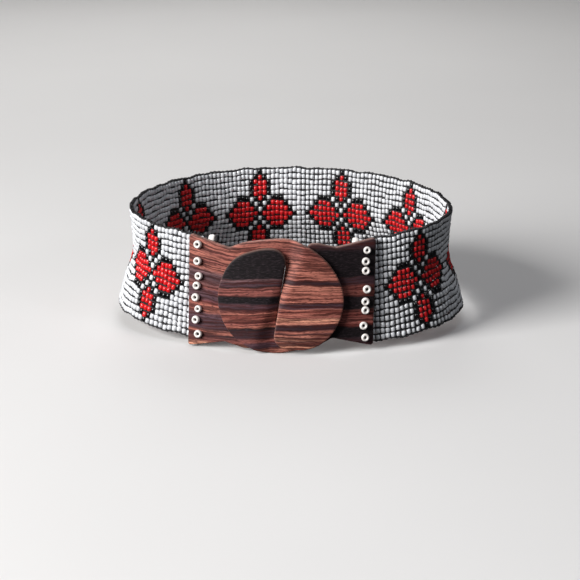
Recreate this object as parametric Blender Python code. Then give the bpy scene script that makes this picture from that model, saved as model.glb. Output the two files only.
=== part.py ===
"""Beaded waist belt with a two-piece hooked wooden buckle, fastened, as it is worn.

The band and both buckle halves are drawn flat, as they would lie on a table, and are
then wrapped round the waist. A flat point has three sizes: how far it lies around the
belt from the middle of the buckle, its height above the buckle's middle, and how far
it stands out from the middle of the band's wall. In the world the belt's loop lies
round the origin, its front at -Y, and +Z is up. Lengths are in metres.
"""

import math
from bisect import bisect_right

import bmesh
import bpy
from mathutils import Matrix, Vector

MM = 0.001

# The waist loop, seen from above: a flat front arc, a tight arc at each side and a
# fuller arc across the back, each tangent to the next
FRONT_RADIUS = 200 * MM
FRONT_ANGLE = math.radians(20)
SIDE_RADIUS = 63 * MM
SIDE_END_ANGLE = math.radians(95)

# The bead-woven band
BEAD_ROWS = 17
ROW_PITCH = 4.03 * MM
EDGE_CORD = 0.5 * MM
BAND_WALL = 3.5 * MM
BAND_TUCK = 8.5 * MM
BAND_HEIGHT = BEAD_ROWS * ROW_PITCH + 2 * EDGE_CORD

# The band leans at the buckle, its lower edge forward, and spreads over the hips at
# the sides, where it also sits a little higher
FRONT_LEAN = 5.4 * MM
SIDE_FLARE = 10.7 * MM
SIDE_RISE = 5.8 * MM
FLARE_RUN = 70 * MM

# The buckle's wood. The closed end of the slit is almost a half circle: its round is a
# share of the slit's width
WOOD = 4 * MM
EDGE_ROUND = 0.8 * MM
PLATE_REACH = 62.5 * MM
PLATE_HEIGHT = 74 * MM
PLATE_CORNER = 1.8 * MM
NECK_REACH = 36 * MM
NECK_HEIGHT = 62 * MM
NECK_ROUND = 4 * MM
LOBE_REACH = 24 * MM
LOBE_DROP = 36 * MM
LOBE_ROUND = 9 * MM
DISC_RADIUS = 40 * MM
SEAM_SLANT = 0.145
SLIT_WIDTH = 12 * MM
SLIT_TOP = 24.2 * MM
SLIT_MOUTH_ROUND = 4 * MM
SLIT_END_ROUND = 0.49
HOOK_DROP = 34 * MM
HOOK_ROUND = 8 * MM
SEAM_OFFSET = 0.5 * MM
TWIST_HEIGHT = 22 * MM

# Drilled beads. The ring is a bead's section through its wall: angles in degrees, four
# round the outer side and four round the hole
BEAD_RING = (20, 60, 120, 160, 200, 240, 300, 340)
STUD_DIAMETER = 5.6 * MM
STUD_DEPTH = 3.2 * MM
STUD_HOLE = 1.5 * MM
STUD_INSET = 6.5 * MM
STUD_SIDES = 14
EDGE_BEAD_DIAMETER = 5.6 * MM
EDGE_BEAD_DEPTH = 4.2 * MM
EDGE_BEAD_DROP = 4.7 * MM
EDGE_BEAD_CLEAR = 1.9 * MM

# Clearances: between a face and the one in front of it, and between edges in line
FACE_GAP = 0.3 * MM
EDGE_GAP = 0.4 * MM

# Points nearer than this are one point, and a slope is read over this distance
WELD = 0.02 * MM
SLOPE_STEP = 1 * MM

# Spacing of the cuts that let a flat solid bend, and of the points on a round corner
# and round a disc
CUT_FRONT = 6 * MM
CUT_TWIST = 2.6 * MM
CUT_SIDE = 8.5 * MM
CUT_BACK = 13 * MM
BAND_COURSES = 8
CORNER_STEP = math.radians(22)
DISC_STEP = 4

# The band's lean out over the hips: height as a share of half the band's height,
# and the distance outwards as a share of SIDE_FLARE
SIDE_PROFILE = [
    (-1.0, 1.0),
    (-0.5, 0.56),
    (0.0, 0.0),
    (0.5, -0.03),
    (1.0, 0.12),
]

# The corners of each half, drawn with its plate on the left: distance from the middle
# as a share of PLATE_REACH, NECK_REACH or LOBE_REACH, and height as a share of half of
# PLATE_HEIGHT or NECK_HEIGHT, or of LOBE_DROP
LEFT_CORNERS = {
    "plate_below": (0.98, -1.05),
    "plate_above": (1.027, 0.975),
    "neck_above": (0.995, 0.93),
    "lobe": (1.0, -1.03),
    "neck_below": (1.017, -1.087),
}
RIGHT_CORNERS = {
    "plate_below": (1.003, -0.975),
    "plate_above": (0.938, 0.962),
    "neck_above": (0.892, 0.94),
    "lobe": (1.0, -0.925),
    "neck_below": (0.99, -0.99),
}

# Outline of each half's disc, from its neck clockwise to the end of its hook: angle
# in degrees from the horizontal, and radius as a share of DISC_RADIUS
LEFT_DISC = [
    (130, 1.06),
    (118, 0.97),
    (104, 0.915),
    (76, 0.905),
    (50, 0.905),
    (25, 0.932),
    (0, 0.988),
    (-25, 1.012),
    (-50, 1.02),
    (-66, 0.975),
    (-80, 0.895),
]
RIGHT_DISC = [
    (134, 1.07),
    (116, 0.995),
    (98, 0.968),
    (80, 1.0),
    (56, 1.015),
    (40, 1.037),
    (5, 1.03),
    (-15, 1.003),
    (-35, 0.968),
    (-55, 0.868),
    (-76, 0.79),
]

# The hook ends: how far the seam lies from the middle as a share of SEAM_OFFSET, how far
# the hook reaches down its own side as a share of HOOK_DROP, and how round its tip is as
# a share of HOOK_ROUND
LEFT_HOOK = {"seam": -1.0, "drop": 1.0, "round": 0.94}
RIGHT_HOOK = {"seam": 1.0, "drop": 0.9, "round": 1.125}

# The drilled beads on the plates, from the top: height as a share of half the plate's
# height, distance from PLATE_REACH as a share of STUD_INSET, and size as a share of
# STUD_DIAMETER
LEFT_STUDS = [
    (0.81, 0.85, 1.00),
    (0.51, 0.91, 1.00),
    (0.243, 1.11, 0.97),
    (0.068, 0.95, 0.98),
    (-0.146, 0.88, 1.00),
    (-0.351, 1.20, 0.88),
    (-0.551, 1.02, 1.00),
    (-0.805, 1.32, 0.98),
]
RIGHT_STUDS = [
    (0.773, 1.02, 0.90),
    (0.576, 1.18, 0.98),
    (0.408, 1.20, 0.98),
    (0.076, 1.14, 1.00),
    (-0.143, 1.32, 0.98),
    (-0.30, 1.35, 0.98),
    (-0.576, 1.57, 0.98),
    (-0.792, 1.43, 0.95),
]


def clear_scene():
    for item in list(bpy.data.objects):
        bpy.data.objects.remove(item, do_unlink=True)


def plain_material(name, colour, roughness):
    material = bpy.data.materials.new(name)
    material.use_nodes = True
    shader = material.node_tree.nodes["Principled BSDF"]
    shader.inputs["Base Color"].default_value = (*colour, 1.0)
    shader.inputs["Roughness"].default_value = roughness
    shader.inputs["Metallic"].default_value = 0.0
    material.diffuse_color = (*colour, 1.0)
    return material


def read_table(rows, place):
    """Smooth value at a place between a table's rows, straight on past its ends."""
    places = [row[0] for row in rows]
    values = [row[1] for row in rows]
    if places[0] > places[-1]:
        places.reverse()
        values.reverse()
    index = min(max(bisect_right(places, place) - 1, 0), len(places) - 2)
    slopes = []
    for k in (index, index + 1):
        low = max(k - 1, 0)
        high = min(k + 1, len(places) - 1)
        slopes.append((values[high] - values[low]) / (places[high] - places[low]))
    step = places[index + 1] - places[index]
    t = (place - places[index]) / step
    if t < 0:
        return values[index] + slopes[0] * step * t
    if t > 1:
        return values[index + 1] + slopes[1] * step * (t - 1)
    rise = (2 * t**3 - 3 * t**2 + 1) * values[index] + (3 * t**2 - 2 * t**3) * values[index + 1]
    lean = (t**3 - 2 * t**2 + t) * slopes[0] + (t**3 - t**2) * slopes[1]
    return rise + step * lean


def loop_arcs():
    """The right half of the loop as arcs: start around, radius, centre, start angle."""
    side_centre = Vector((
        (FRONT_RADIUS - SIDE_RADIUS) * math.sin(FRONT_ANGLE),
        FRONT_RADIUS - (FRONT_RADIUS - SIDE_RADIUS) * math.cos(FRONT_ANGLE),
    ))
    spare = side_centre.x / math.sin(SIDE_END_ANGLE)
    back_centre = Vector((0.0, side_centre.y + spare * math.cos(SIDE_END_ANGLE)))
    side_start = FRONT_RADIUS * FRONT_ANGLE
    back_start = side_start + SIDE_RADIUS * (SIDE_END_ANGLE - FRONT_ANGLE)
    return [
        (0.0, FRONT_RADIUS, Vector((0.0, FRONT_RADIUS)), 0.0),
        (side_start, SIDE_RADIUS, side_centre, FRONT_ANGLE),
        (back_start, SIDE_RADIUS + spare, back_centre, SIDE_END_ANGLE),
    ]


ARCS = loop_arcs()
GIRTH = 2 * (ARCS[2][0] + ARCS[2][1] * (math.pi - SIDE_END_ANGLE))
LOOP_DEPTH = ARCS[2][2].y + ARCS[2][1]

# How far each layer stands out from the middle of the band's wall
PLATE_LEVEL = BAND_WALL / 2 + FACE_GAP + WOOD / 2
HOOK_LEVEL = PLATE_LEVEL + WOOD + FACE_GAP
PLATE_FACE = PLATE_LEVEL + WOOD / 2


def loop_point(around):
    """Point of the loop seen from above, and the way it faces there."""
    if around > GIRTH / 2:
        around -= GIRTH
    side = 1 if around >= 0 else -1
    distance = abs(around)
    arc = max((a for a in ARCS if a[0] <= distance), key=lambda a: a[0])
    start, radius, centre, start_angle = arc
    angle = start_angle + (distance - start) / radius
    x = centre.x + radius * math.sin(angle)
    y = centre.y - radius * math.cos(angle)
    return side * x, y - LOOP_DEPTH / 2, side * angle


def away_from_plate(around):
    """0 along the buckle, rising smoothly to 1 at the sides and round the back."""
    distance = min(around, GIRTH - around) if around > 0 else -around
    share = (distance - PLATE_REACH) / FLARE_RUN
    return math.sin(math.pi / 2 * min(max(share, 0.0), 1.0))


def wrap(around, height, out):
    """World point of a flat point, once the belt is on the waist."""
    x, y, angle = loop_point(around)
    share = height / (BAND_HEIGHT / 2)
    away = away_from_plate(around)
    out += (1 - away) * -FRONT_LEAN * share
    out += away * SIDE_FLARE * read_table(SIDE_PROFILE, share)
    return Vector((
        x + out * math.sin(angle),
        y - out * math.cos(angle),
        height + SIDE_RISE * away,
    ))


def facing(around, height):
    """Rotation that turns a flat piece's own +Z out of the belt at a place."""
    along = wrap(around + SLOPE_STEP, height, 0.0) - wrap(around - SLOPE_STEP, height, 0.0)
    upward = wrap(around, height + SLOPE_STEP, 0.0) - wrap(around, height - SLOPE_STEP, 0.0)
    outward = along.cross(upward).normalized()
    along.normalize()
    return Matrix((along, outward.cross(along), outward)).transposed().to_4x4()


def rounded(corners):
    """Outline from corners (x, height, radius), each rounded off by its radius."""
    points = []
    for index, (x, height, radius) in enumerate(corners):
        corner = Vector((x, height))
        if radius == 0:
            points.append(corner)
            continue
        before = Vector(corners[index - 1][:2]) - corner
        after = Vector(corners[(index + 1) % len(corners)][:2]) - corner
        before.normalize()
        after.normalize()
        half = before.angle(after) / 2
        centre = corner + (before + after).normalized() * radius / math.sin(half)
        first = corner + before * radius / math.tan(half) - centre
        last = corner + after * radius / math.tan(half) - centre
        turn = first.angle_signed(last)
        steps = max(2, round(abs(turn) / CORNER_STEP))
        for step in range(steps + 1):
            points.append(centre + Matrix.Rotation(-turn * step / steps, 2) @ first)
    return points


def half_outline(places, disc, hook):
    """Outline of a buckle half whose plate is on the left and whose hook points down."""
    def corner(name, reach, height, radius):
        reach_share, height_share = places[name]
        return (-reach * reach_share, height * height_share, radius)

    def seam(height):
        return hook["seam"] * SEAM_OFFSET + SEAM_SLANT * height

    near = EDGE_GAP / 2
    far = SLIT_WIDTH + EDGE_GAP / 2
    slit_round = SLIT_END_ROUND * (near + far)
    tip = -hook["drop"] * HOOK_DROP
    corners = [
        corner("plate_below", PLATE_REACH, PLATE_HEIGHT / 2, PLATE_CORNER),
        corner("plate_above", PLATE_REACH, PLATE_HEIGHT / 2, PLATE_CORNER),
        corner("neck_above", NECK_REACH, NECK_HEIGHT / 2, NECK_ROUND),
    ]
    angle = disc[0][0]
    while angle >= disc[-1][0]:
        radius = DISC_RADIUS * read_table(disc, angle)
        turn = math.radians(angle)
        corners.append((radius * math.cos(turn), radius * math.sin(turn), 0))
        angle -= DISC_STEP
    corners += [
        (seam(tip) + near, tip, hook["round"] * HOOK_ROUND),
        (seam(SLIT_TOP) + near, SLIT_TOP, slit_round),
        (seam(SLIT_TOP) - far, SLIT_TOP, slit_round),
        (seam(-LOBE_DROP) - far, LOBE_DROP * places["lobe"][1], SLIT_MOUTH_ROUND),
        corner("lobe", LOBE_REACH, LOBE_DROP, LOBE_ROUND),
        corner("neck_below", NECK_REACH, NECK_HEIGHT / 2, NECK_ROUND),
    ]
    return rounded(corners)


def half_level(x, height, seam):
    """How far a half's middle stands out: its plate lies behind, its hook in front."""
    past_seam = (x - seam * SEAM_OFFSET - SEAM_SLANT * height) / SLIT_WIDTH
    if past_seam <= 0:
        return PLATE_LEVEL
    down = (TWIST_HEIGHT - height) / (2 * TWIST_HEIGHT)
    share = min(max(past_seam + min(max(down, 0.0), 1.0), 0.0), 1.0)
    share = share * share * (3 - 2 * share)
    return PLATE_LEVEL + (HOOK_LEVEL - PLATE_LEVEL) * share


def slab(outline, thickness, edge_round):
    """Flat solid in the XZ plane, its middle at y = 0, with rounded rims."""
    mesh = bmesh.new()
    ring = [mesh.verts.new((p.x, thickness / 2, p.y)) for p in outline]
    face = mesh.faces.new(ring)
    grown = bmesh.ops.extrude_face_region(mesh, geom=[face])
    front = [v for v in grown["geom"] if isinstance(v, bmesh.types.BMVert)]
    bmesh.ops.translate(mesh, vec=(0, -thickness, 0), verts=front)
    bmesh.ops.recalc_face_normals(mesh, faces=mesh.faces)
    if edge_round:
        rims = [e for e in mesh.edges if any(len(f.verts) == len(ring) for f in e.link_faces)]
        bmesh.ops.bevel(mesh, geom=rims, offset=edge_round, segments=2, profile=0.5,
                        affect="EDGES", clamp_overlap=False)
    return mesh


def slice_slab(mesh, axis, places):
    """Cut a slab right through at each place along an axis."""
    normal = Vector((0, 0, 0))
    normal[axis] = 1.0
    for place in places:
        bmesh.ops.bisect_plane(mesh, geom=mesh.verts[:] + mesh.edges[:] + mesh.faces[:],
                               dist=WELD, plane_co=normal * place, plane_no=normal)


def spaced(start, end, spacing):
    """Places from start to end, both left out, at about the given spacing."""
    count = max(1, round((end - start) / spacing))
    return [start + (end - start) * k / count for k in range(1, count)]


def finish(mesh, name, material, sharp_angle=40):
    """Turn a bmesh into a named object with its material."""
    data = bpy.data.meshes.new(name)
    mesh.to_mesh(data)
    mesh.free()
    data.materials.append(material)
    data.shade_smooth()
    data.set_sharp_from_angle(angle=math.radians(sharp_angle))
    item = bpy.data.objects.new(name, data)
    bpy.context.scene.collection.objects.link(item)
    return item


def make_buckle_half(name, places, disc, hook, material, flip):
    """One half of the buckle. The right half is drawn like the left, then turned over
    by half a turn in its own plane, so that the two hook through each other."""
    mesh = slab(half_outline(places, disc, hook), WOOD, EDGE_ROUND)
    twist = SLIT_WIDTH + SEAM_OFFSET + SEAM_SLANT * DISC_RADIUS
    slice_slab(mesh, 0, spaced(-PLATE_REACH, -twist, CUT_FRONT))
    slice_slab(mesh, 0, [-twist] + spaced(-twist, twist, CUT_TWIST) + [twist])
    slice_slab(mesh, 0, spaced(twist, DISC_RADIUS, CUT_FRONT))
    slice_slab(mesh, 2, spaced(-TWIST_HEIGHT, TWIST_HEIGHT, 2 * CUT_TWIST))
    bmesh.ops.triangulate(mesh, faces=mesh.faces)
    for vert in mesh.verts:
        x, y, height = vert.co
        out = half_level(x, height, hook["seam"]) - y
        vert.co = wrap(flip * x, flip * height, out)
    return finish(mesh, name, material)


def make_band(material):
    """The woven band: a long flat strip whose ends lie tucked behind both plates."""
    start = PLATE_REACH - BAND_TUCK
    end = GIRTH - start
    half = BAND_HEIGHT / 2
    corners = [(start, -half), (end, -half), (end, half), (start, half)]
    outline = [Vector(corner) for corner in corners]
    mesh = slab(outline, BAND_WALL, 0)
    side_start, back_start = ARCS[1][0], ARCS[2][0]
    tuck = spaced(start, PLATE_REACH, CUT_FRONT / 2) + [PLATE_REACH]
    right = tuck + [side_start] + spaced(side_start, back_start, CUT_SIDE) + [back_start]
    slice_slab(mesh, 0, right)
    slice_slab(mesh, 0, spaced(back_start, GIRTH - back_start, CUT_BACK))
    slice_slab(mesh, 0, [GIRTH - place for place in right])
    slice_slab(mesh, 2, spaced(-half, half, BAND_HEIGHT / BAND_COURSES))
    bmesh.ops.triangulate(mesh, faces=mesh.faces)
    for vert in mesh.verts:
        vert.co = wrap(vert.co.x, vert.co.z, -vert.co.y)
    return finish(mesh, "beaded_band", material)


def make_bead(name, diameter, depth, hole, material):
    """A drilled bead, turned round its own hole, which runs along +Z."""
    middle = (diameter + hole) / 4
    reach = (diameter - hole) / 4
    mesh = bmesh.new()
    ring = []
    widest = math.cos(math.radians(BEAD_RING[0]))
    highest = math.sin(math.radians(BEAD_RING[1]))
    for turn in BEAD_RING:
        angle = math.radians(turn)
        radius = middle + reach * math.cos(angle) / widest
        height = depth / 2 * math.sin(angle) / highest
        ring.append(mesh.verts.new((radius, 0, height)))
    edges = [mesh.edges.new((ring[k - 1], ring[k])) for k in range(len(ring))]
    bmesh.ops.spin(mesh, geom=ring + edges, cent=(0, 0, 0), axis=(0, 0, 1),
                   angle=math.tau, steps=STUD_SIDES, use_merge=True)
    bmesh.ops.remove_doubles(mesh, verts=mesh.verts, dist=WELD)
    bmesh.ops.recalc_face_normals(mesh, faces=mesh.faces)
    return finish(mesh, name, material, sharp_angle=60)


def seat(item, around, height, out):
    """Place a piece on the belt, its own +Z facing out of it."""
    item.matrix_world = Matrix.Translation(wrap(around, height, out)) @ facing(around, height)


def make_studs(side_name, rows, side, material):
    """The column of drilled beads along a plate's outer edge."""
    for number, (height, inset, size) in enumerate(rows, start=1):
        diameter = STUD_DIAMETER * size
        depth = STUD_DEPTH * size
        stud = make_bead(f"stud_{side_name}_{number}", diameter, depth, STUD_HOLE, material)
        around = side * (PLATE_REACH - STUD_INSET * inset)
        seat(stud, around, height * PLATE_HEIGHT / 2, PLATE_FACE + FACE_GAP + depth / 2)


def make_edge_bead(side_name, side, material):
    """The bead that shows half behind a plate's top edge, its hole along the belt."""
    bead = make_bead(f"edge_bead_{side_name}", EDGE_BEAD_DIAMETER, EDGE_BEAD_DEPTH, STUD_HOLE, material)
    reach = PLATE_REACH - BAND_TUCK - EDGE_BEAD_CLEAR - EDGE_BEAD_DEPTH / 2
    out = PLATE_LEVEL - WOOD / 2 - FACE_GAP - EDGE_BEAD_DIAMETER / 2
    seat(bead, side * reach, PLATE_HEIGHT / 2 - EDGE_BEAD_DROP, out)
    bead.matrix_world = bead.matrix_world @ Matrix.Rotation(math.pi / 2, 4, "Y")


def build():
    clear_scene()
    light_wood = plain_material("rosewood_light", (0.26, 0.12, 0.08), roughness=0.38)
    dark_wood = plain_material("rosewood_dark", (0.06, 0.035, 0.03), roughness=0.38)
    white_bead = plain_material("white_bead", (0.85, 0.84, 0.82), roughness=0.2)
    beadwork = plain_material("beadwork", (0.75, 0.72, 0.7), roughness=0.3)
    make_band(beadwork)
    make_buckle_half("buckle_left", LEFT_CORNERS, LEFT_DISC, LEFT_HOOK, light_wood, flip=1)
    make_buckle_half("buckle_right", RIGHT_CORNERS, RIGHT_DISC, RIGHT_HOOK, dark_wood, flip=-1)
    make_studs("left", LEFT_STUDS, -1, white_bead)
    make_studs("right", RIGHT_STUDS, 1, white_bead)
    make_edge_bead("left", -1, white_bead)
    make_edge_bead("right", 1, white_bead)


build()
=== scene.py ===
# %% [markdown]
# # A beaded waist belt with an interlocking wooden buckle
# The belt has three kinds of piece: a band woven from seed beads, two flat wooden halves
# that hook through each other, and a column of drilled beads where the band is tied to
# each half. It is shown closed, in the loop it makes round a waist.
#
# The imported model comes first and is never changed. It gives every piece its place.
# The finer pieces made here stand for its plain solids.

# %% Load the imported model
import math
import random
from bisect import bisect_right

import bmesh
import bpy
import numpy as np
from mathutils import Matrix, Vector


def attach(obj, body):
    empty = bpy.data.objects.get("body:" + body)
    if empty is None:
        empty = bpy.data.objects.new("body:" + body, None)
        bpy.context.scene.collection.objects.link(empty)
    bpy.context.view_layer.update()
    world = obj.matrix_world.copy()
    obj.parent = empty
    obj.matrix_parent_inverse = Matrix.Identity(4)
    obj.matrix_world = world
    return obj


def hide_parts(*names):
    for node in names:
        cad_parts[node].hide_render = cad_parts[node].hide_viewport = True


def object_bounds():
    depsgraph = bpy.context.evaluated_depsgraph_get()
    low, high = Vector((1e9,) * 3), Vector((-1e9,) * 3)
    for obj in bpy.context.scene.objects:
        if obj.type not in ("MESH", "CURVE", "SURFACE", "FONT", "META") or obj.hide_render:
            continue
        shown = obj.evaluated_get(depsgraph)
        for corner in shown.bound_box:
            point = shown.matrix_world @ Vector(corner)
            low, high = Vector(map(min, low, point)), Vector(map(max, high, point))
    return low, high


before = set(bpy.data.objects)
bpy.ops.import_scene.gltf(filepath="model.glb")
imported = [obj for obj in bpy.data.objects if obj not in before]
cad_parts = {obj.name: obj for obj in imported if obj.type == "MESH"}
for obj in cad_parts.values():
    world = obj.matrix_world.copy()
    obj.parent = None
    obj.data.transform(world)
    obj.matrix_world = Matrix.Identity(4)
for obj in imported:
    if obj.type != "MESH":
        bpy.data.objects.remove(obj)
cad_low, cad_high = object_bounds()
print("nodes:", len(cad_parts))
print("the model measures", [round(1000 * side, 1) for side in cad_high - cad_low], "mm")

# %% [markdown]
# ## The loop
# A belt is made flat and takes its loop from the waist. The pieces are modelled the same
# way: flat, with x going round the belt from the buckle's middle, z upwards and y into
# the belt, and then every point is carried to the waist by one function. A Curve
# modifier could bend them, but it knows nothing of the hips, where the band leans out,
# nor of the buckle, which leans with its lower edge forward.

# %% The loop's sizes
MM = 0.001
FRONT_RADIUS = 200 * MM
FRONT_ANGLE = math.radians(20)
SIDE_RADIUS = 63 * MM
SIDE_END_ANGLE = math.radians(95)
ROWS = 17
ROW_PITCH = 4.03 * MM
BAND_WALL = 3.5 * MM
BAND_HEIGHT = ROWS * ROW_PITCH + 1 * MM
FRONT_LEAN = 5.4 * MM
SIDE_FLARE = 10.7 * MM
SIDE_RISE = 5.8 * MM
FLARE_RUN = 70 * MM
PLATE_REACH = 62.5 * MM

# height as a share of half the band's height, and its lean as a share of SIDE_FLARE
SIDE_PROFILE = [(-1.0, 1.0), (-0.5, 0.56), (0.0, 0.0), (0.5, -0.03), (1.0, 0.12)]


def read_table(rows, place):
    """Smooth value at a place between a table's rows, straight on past its ends."""
    rows = sorted(rows)
    places = [row[0] for row in rows]
    values = [row[1] for row in rows]
    index = min(max(bisect_right(places, place) - 1, 0), len(places) - 2)
    slopes = []
    for k in (index, index + 1):
        low = max(k - 1, 0)
        high = min(k + 1, len(places) - 1)
        slopes.append((values[high] - values[low]) / (places[high] - places[low]))
    step = places[index + 1] - places[index]
    t = (place - places[index]) / step
    if t < 0:
        return values[index] + slopes[0] * step * t
    if t > 1:
        return values[index + 1] + slopes[1] * step * (t - 1)
    rise = (2 * t**3 - 3 * t**2 + 1) * values[index] + (3 * t**2 - 2 * t**3) * values[index + 1]
    slant = (t**3 - 2 * t**2 + t) * slopes[0] + (t**3 - t**2) * slopes[1]
    return rise + step * slant


# %% The loop as arcs: where each starts, its radius, its centre and its first angle
side_centre = Vector((
    (FRONT_RADIUS - SIDE_RADIUS) * math.sin(FRONT_ANGLE),
    FRONT_RADIUS - (FRONT_RADIUS - SIDE_RADIUS) * math.cos(FRONT_ANGLE),
))
spare = side_centre.x / math.sin(SIDE_END_ANGLE)
back_centre = Vector((0.0, side_centre.y + spare * math.cos(SIDE_END_ANGLE)))
side_start = FRONT_RADIUS * FRONT_ANGLE
back_start = side_start + SIDE_RADIUS * (SIDE_END_ANGLE - FRONT_ANGLE)
ARCS = [
    (0.0, FRONT_RADIUS, Vector((0.0, FRONT_RADIUS)), 0.0),
    (side_start, SIDE_RADIUS, side_centre, FRONT_ANGLE),
    (back_start, SIDE_RADIUS + spare, back_centre, SIDE_END_ANGLE),
]
GIRTH = 2 * (back_start + (SIDE_RADIUS + spare) * (math.pi - SIDE_END_ANGLE))
LOOP_DEPTH = back_centre.y + SIDE_RADIUS + spare
print("the loop is", round(GIRTH / MM), "mm round and", round(LOOP_DEPTH / MM), "mm deep")


def loop_point(around):
    """Point of the loop seen from above, and the way it faces there."""
    if around > GIRTH / 2:
        around -= GIRTH
    side = 1 if around >= 0 else -1
    distance = abs(around)
    start, radius, centre, first = max((a for a in ARCS if a[0] <= distance), key=lambda a: a[0])
    angle = first + (distance - start) / radius
    x = centre.x + radius * math.sin(angle)
    y = centre.y - radius * math.cos(angle)
    return side * x, y - LOOP_DEPTH / 2, side * angle


def wrap(around, height, out):
    """Place on the waist of a point that is known on the flat belt."""
    x, y, angle = loop_point(around)
    share = height / (BAND_HEIGHT / 2)
    distance = min(around, GIRTH - around) if around > 0 else -around
    # 0 at the buckle, 1 at the sides and the back
    away = math.sin(math.pi / 2 * min(max((distance - PLATE_REACH) / FLARE_RUN, 0.0), 1.0))
    out += (1 - away) * -FRONT_LEAN * share + away * SIDE_FLARE * read_table(SIDE_PROFILE, share)
    return Vector((x + out * math.sin(angle), y - out * math.cos(angle), height + SIDE_RISE * away))


def seat(around, height, out):
    """Matrix that seats a small piece: its X along the belt, Y into it and Z up."""
    step = 1 * MM
    along = (wrap(around + step, height, out) - wrap(around - step, height, out)).normalized()
    up = wrap(around, height + step, out) - wrap(around, height - step, out)
    inward = up.cross(along).normalized()
    turn = Matrix((along, inward, along.cross(inward))).transposed().to_4x4()
    return Matrix.Translation(wrap(around, height, out)) @ turn


# %% [markdown]
# ## Working by code as by hand
# An operator in Blender works on what is selected, so each step starts from one chosen
# object, and faces or edges are picked by a rule such as the way that they face.

# %% Choosing objects, faces and edges
def only(item):
    """Select one object, alone."""
    if bpy.context.object and bpy.context.object.mode != "OBJECT":
        bpy.ops.object.mode_set(mode="OBJECT")
    bpy.ops.object.select_all(action="DESELECT")
    item.select_set(True)
    bpy.context.view_layer.objects.active = item
    return item


def pick(kind, rule):
    """In edit mode, select the faces, edges or verts that a rule picks, and no others."""
    bpy.ops.mesh.select_all(action="DESELECT")
    bpy.ops.mesh.select_mode(type={"faces": "FACE", "edges": "EDGE", "verts": "VERT"}[kind])
    mesh = bmesh.from_edit_mesh(bpy.context.object.data)
    mesh.normal_update()
    for part in getattr(mesh, kind):
        if rule(part):
            part.select_set(True)
    bmesh.update_edit_mesh(bpy.context.object.data)


def apply_place(item):
    """Move an object's place, turn and size into its mesh."""
    only(item)
    bpy.ops.object.transform_apply(location=True, rotation=True, scale=True)


def belongs(item, name, slot, *nodes):
    """Name a finished piece, let it move with the belt, and hide the nodes that it stands for."""
    item.name = name
    item.data.name = name
    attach(item, "root")
    if nodes:
        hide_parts(*nodes)
    print(name, "has", sum(len(face.vertices) - 2 for face in item.data.polygons), "triangles")


# %% [markdown]
# ## The two wooden halves
# Each half is cut from a board of rosewood 4 mm thick: a plate that the band is tied to,
# a neck, and a broad hook with a slit beside it. The hook is bent forward across the
# slit, so when the halves are turned to face each other and slid together, each hook
# comes through the other's slit and lies on the other's plate.
#
# A half could be carved from a block, but it is really a flat outline with one bend. So
# a filled circle is added, its points are set on the outline, it is extruded to a board,
# its rims are beveled, and it is cut across by many planes so that it can bend.

# %% The halves' sizes
WOOD = 4 * MM
EDGE_ROUND = 1.0 * MM
PLATE_HEIGHT = 74 * MM
PLATE_CORNER = 1.8 * MM
NECK_REACH = 36 * MM
NECK_HEIGHT = 62 * MM
NECK_ROUND = 4 * MM
LOBE_REACH = 24 * MM
LOBE_DROP = 36 * MM
LOBE_ROUND = 9 * MM
DISC_RADIUS = 40 * MM
SEAM_SLANT = 0.145
SLIT_WIDTH = 12 * MM
SLIT_TOP = 24.2 * MM
SLIT_MOUTH_ROUND = 4 * MM
HOOK_DROP = 34 * MM
HOOK_ROUND = 8 * MM
SEAM_OFFSET = 0.5 * MM
TWIST_HEIGHT = 22 * MM
FACE_GAP = 0.3 * MM
# worn and waxed halves meet closely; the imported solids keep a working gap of 0.4 mm here
EDGE_GAP = 0.12 * MM
CORNER_STEP = math.radians(9)
DISC_STEP = 2
PLATE_LEVEL = BAND_WALL / 2 + FACE_GAP + WOOD / 2
HOOK_LEVEL = PLATE_LEVEL + WOOD + FACE_GAP
PLATE_FACE = PLATE_LEVEL + WOOD / 2

# How each half was cut, as shares of the sizes above. "disc" lists its round edge by angle
# in degrees, as shares of DISC_RADIUS.
LEFT = {
    "plate_below": (0.98, -1.05), "plate_above": (1.027, 0.975), "neck_above": (0.995, 0.93),
    "lobe": (1.0, -1.03), "neck_below": (1.017, -1.087),
    "seam": -1.0, "drop": 1.0, "round": 0.94,
    "disc": [(130, 1.06), (118, 0.97), (104, 0.915), (76, 0.905), (50, 0.905), (25, 0.932),
             (0, 0.988), (-25, 1.012), (-50, 1.02), (-66, 0.975), (-80, 0.895)],
}
RIGHT = {
    "plate_below": (1.003, -0.975), "plate_above": (0.938, 0.962), "neck_above": (0.892, 0.94),
    "lobe": (1.0, -0.925), "neck_below": (0.99, -0.99),
    "seam": 1.0, "drop": 0.9, "round": 1.125,
    "disc": [(134, 1.07), (116, 0.995), (98, 0.968), (80, 1.0), (56, 1.015), (40, 1.037),
             (5, 1.03), (-15, 1.003), (-35, 0.968), (-55, 0.868), (-76, 0.79)],
}


# %% The outline of a half
def rounded(corners):
    """Outline from corners (x, height, radius), each rounded off by its radius."""
    points = []
    for index, (x, height, radius) in enumerate(corners):
        corner = Vector((x, height))
        if radius == 0:
            points.append(corner)
            continue
        before = (Vector(corners[index - 1][:2]) - corner).normalized()
        after = (Vector(corners[(index + 1) % len(corners)][:2]) - corner).normalized()
        half = before.angle(after) / 2
        centre = corner + (before + after).normalized() * radius / math.sin(half)
        first = corner + before * radius / math.tan(half) - centre
        last = corner + after * radius / math.tan(half) - centre
        turn = first.angle_signed(last)
        steps = max(3, round(abs(turn) / CORNER_STEP))
        points += [centre + Matrix.Rotation(-turn * k / steps, 2) @ first for k in range(steps + 1)]
    return points


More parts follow.
